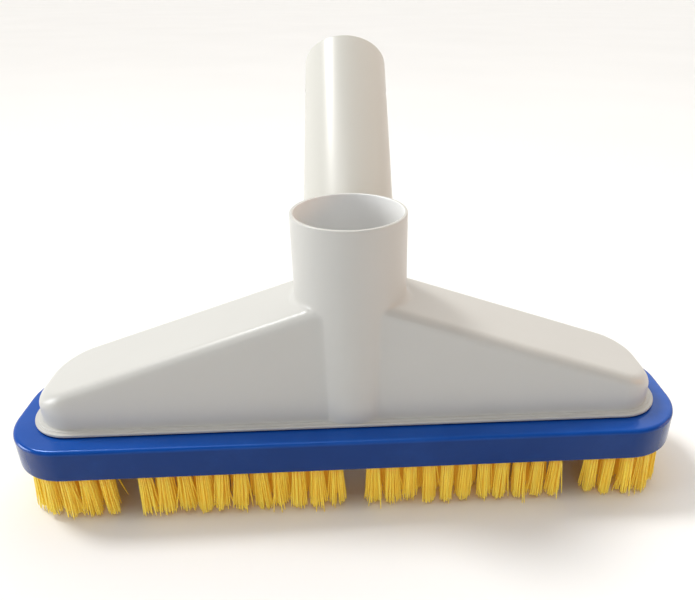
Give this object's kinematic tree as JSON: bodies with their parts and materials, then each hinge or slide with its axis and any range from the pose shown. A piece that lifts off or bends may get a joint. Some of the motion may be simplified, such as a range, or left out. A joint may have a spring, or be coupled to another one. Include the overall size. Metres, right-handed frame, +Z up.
{
  "type": "pool wall brush",
  "caption": "Pool wall brush with suction: a long block of bristle tufts under a sloping hood with an upright hose cuff and a leaning socket for a pole.",
  "frame": {"origin": "on the surface that the bristle tips stand on, below the middle of the bounding box; the hose cuff's axis is 46.7 mm to the front of it, towards -Y", "axes": "+X along the block, +Y towards the side that the pole socket leans to, +Z up, which is the hose cuff's axis"},
  "size_m": [0.25, 0.149, 0.1589],
  "materials": {
    "white_plastic": "moulded gloss",
    "white_plastic_tube": "moulded gloss",
    "blue_plastic": "semi-gloss",
    "screw_steel": "plain stainless",
    "bristle_nylon": "translucent filament",
    "anchor_metal": "plain"
  },
  "bodies": {
    "root": {"vacuum_hood": "white_plastic", "pole_socket_tube": "white_plastic_tube", "brush_block": "blue_plastic", "hood_screws": "screw_steel", "front_left_outer_tufts": "bristle_nylon", "front_right_outer_tufts": "bristle_nylon", "rear_left_outer_tufts": "bristle_nylon", "rear_right_outer_tufts": "bristle_nylon", "left_end_outer_tufts": "bristle_nylon", "right_end_outer_tufts": "bristle_nylon", "front_left_inner_tufts": "bristle_nylon", "front_right_inner_tufts": "bristle_nylon", "rear_left_inner_tufts": "bristle_nylon", "rear_right_inner_tufts": "bristle_nylon", "left_end_inner_tufts": "bristle_nylon", "right_end_inner_tufts": "bristle_nylon", "front_anchors": "anchor_metal", "rear_anchors": "anchor_metal", "left_end_anchors": "anchor_metal", "right_end_anchors": "anchor_metal"}
  },
  "joints": []
}
